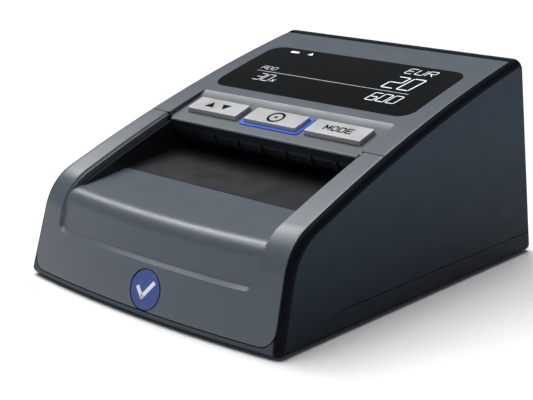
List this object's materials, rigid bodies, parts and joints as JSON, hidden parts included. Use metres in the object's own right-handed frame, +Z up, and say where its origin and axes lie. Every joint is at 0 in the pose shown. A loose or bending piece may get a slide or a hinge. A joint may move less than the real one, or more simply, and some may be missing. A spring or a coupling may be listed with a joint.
{
  "type": "counterfeit bill detector",
  "caption": "Counter-top banknote detector with a sloping note tray, top display, three keys and a swing-up lid.",
  "frame": {"origin": "on the counter under the middle of the machine", "axes": "+Z up, note tray and badge at -Y, rear slot and ports at +Y, +X to the right seen from the front"},
  "size_m": [0.1256, 0.1637, 0.0806],
  "materials": {
    "casing_dark": "fine textured near-black blue-grey plastic",
    "cover_grey": "satin painted mid grey with a faint metallic grain",
    "badge_blue": "glossy blue with a bright rim",
    "rubber": "matt black rubber",
    "screw_steel": "plated steel",
    "shaft_steel": "ground steel",
    "contact_metal": "nickel-plated sheet",
    "label_silver": "blank foil plate",
    "battery_wrap": "blue heat-shrink wrap",
    "path_black": "smooth black plastic",
    "sensor_glass": "dark polished glass",
    "window_gloss": "polished black acrylic",
    "inner_plastic": "black moulded plastic",
    "circuit_board": "green solder resist",
    "chip_black": "black component bodies",
    "port_black": "black moulded inlet",
    "bush_white": "natural acetal",
    "gear_white": "natural acetal",
    "roller_grey": "grey pressure rollers",
    "light_blue": "translucent blue light guide",
    "key_silver": "silver painted key with fine grain"
  },
  "bodies": {
    "body": {"base_pan": "casing_dark", "main_shell": "casing_dark", "front_cover": "cover_grey", "front_badge": "badge_blue", "rubber_feet": "rubber", "case_screws": "screw_steel", "rating_plate": "label_silver", "battery_pack": "battery_wrap", "battery_contacts": "contact_metal", "lower_path_plate": "path_black", "lower_sensor_window": "sensor_glass", "lower_sensor_frame": "inner_plastic", "lower_sensor_board": "circuit_board", "magnetic_head": "screw_steel", "shaft_bushes": "bush_white", "drive_belt": "rubber", "motor_can": "screw_steel", "motor_bracket": "screw_steel", "motor_screws": "screw_steel", "encoder_sensor": "inner_plastic", "main_board": "circuit_board", "board_chips": "chip_black", "board_screws": "screw_steel", "dc_jack": "port_black", "usb_port": "contact_metal", "card_slot": "contact_metal", "buzzer": "chip_black", "hinge_pins": "shaft_steel", "magnet_keepers": "screw_steel"},
    "lid": {"lid_cover": "cover_grey", "display_window": "window_gloss", "display_module": "inner_plastic", "display_board": "circuit_board", "light_ring": "light_blue", "key_board": "circuit_board", "key_switches": "chip_black", "upper_path_plate": "path_black", "upper_sensor_window": "sensor_glass", "image_sensor": "inner_plastic", "idler_springs": "contact_metal", "lid_screws": "screw_steel", "lid_magnets": "screw_steel"},
    "rocker": {"up_down_key": "key_silver"},
    "start": {"start_key": "key_silver"},
    "mode": {"mode_key": "key_silver"},
    "front_drive": {"front_drive_shaft": "shaft_steel", "front_drive_hubs": "inner_plastic", "front_drive_tyres": "rubber", "front_pulley": "gear_white", "drive_gear": "gear_white"},
    "rear_drive": {"rear_drive_shaft": "shaft_steel", "rear_drive_hubs": "inner_plastic", "rear_drive_tyres": "rubber", "rear_pulley": "gear_white", "encoder_disc": "inner_plastic"},
    "motor_rotor": {"motor_shaft": "shaft_steel", "motor_pinion": "gear_white"},
    "front_idler": {"front_idlers": "roller_grey"},
    "rear_idler": {"rear_idlers": "roller_grey"},
    "battery_hatch": {"battery_door": "casing_dark"}
  },
  "joints": [
    {"name": "lid_hinge", "type": "hinge", "parent": "body", "child": "lid", "pos_m": [0, 0.0645, 0.07734], "axis": [-1, 0, 0], "range_deg": [0, 70]},
    {"name": "rocker_tilt", "type": "hinge", "parent": "lid", "child": "rocker", "pos_m": [-0.0301, -0.00645, 0.05546], "axis": [0, 0.9493, 0.3144], "range_deg": [-2.5, 2.5], "stiffness_Nm_per_rad": 0.6},
    {"name": "start_press", "type": "slide", "parent": "lid", "child": "start", "axis": [0, 0.3144, -0.9493], "range_m": [0, 0.0007], "stiffness_N_per_m": 400},
    {"name": "mode_press", "type": "slide", "parent": "lid", "child": "mode", "axis": [0, 0.3144, -0.9493], "range_m": [0, 0.0007], "stiffness_N_per_m": 400},
    {"name": "front_drive_spin", "type": "hinge", "parent": "body", "child": "front_drive", "pos_m": [0, 0.005, 0.0383], "axis": [1, 0, 0], "continuous": true},
    {"name": "rear_drive_spin", "type": "hinge", "parent": "body", "child": "rear_drive", "pos_m": [0, 0.05, 0.04463], "axis": [1, 0, 0], "continuous": true},
    {"name": "motor_spin", "type": "hinge", "parent": "body", "child": "motor_rotor", "pos_m": [0, 0.022, 0.02631], "axis": [1, 0, 0], "continuous": true},
    {"name": "front_idler_spin", "type": "hinge", "parent": "lid", "child": "front_idler", "pos_m": [0, 0.005, 0.0501], "axis": [1, 0, 0], "continuous": true},
    {"name": "rear_idler_spin", "type": "hinge", "parent": "lid", "child": "rear_idler", "pos_m": [0, 0.05, 0.05643], "axis": [1, 0, 0], "continuous": true},
    {"name": "battery_door_lift", "type": "slide", "parent": "body", "child": "battery_hatch", "axis": [0, 0, -1], "range_m": [0, 0.012]}
  ],
  "couplings": [
    {"joint": "rear_drive_spin", "follows": "front_drive_spin", "ratio": 1},
    {"joint": "motor_spin", "follows": "front_drive_spin", "ratio": -3.3333},
    {"joint": "front_idler_spin", "follows": "front_drive_spin", "ratio": -1.5556},
    {"joint": "rear_idler_spin", "follows": "front_drive_spin", "ratio": -1.5556}
  ]
}
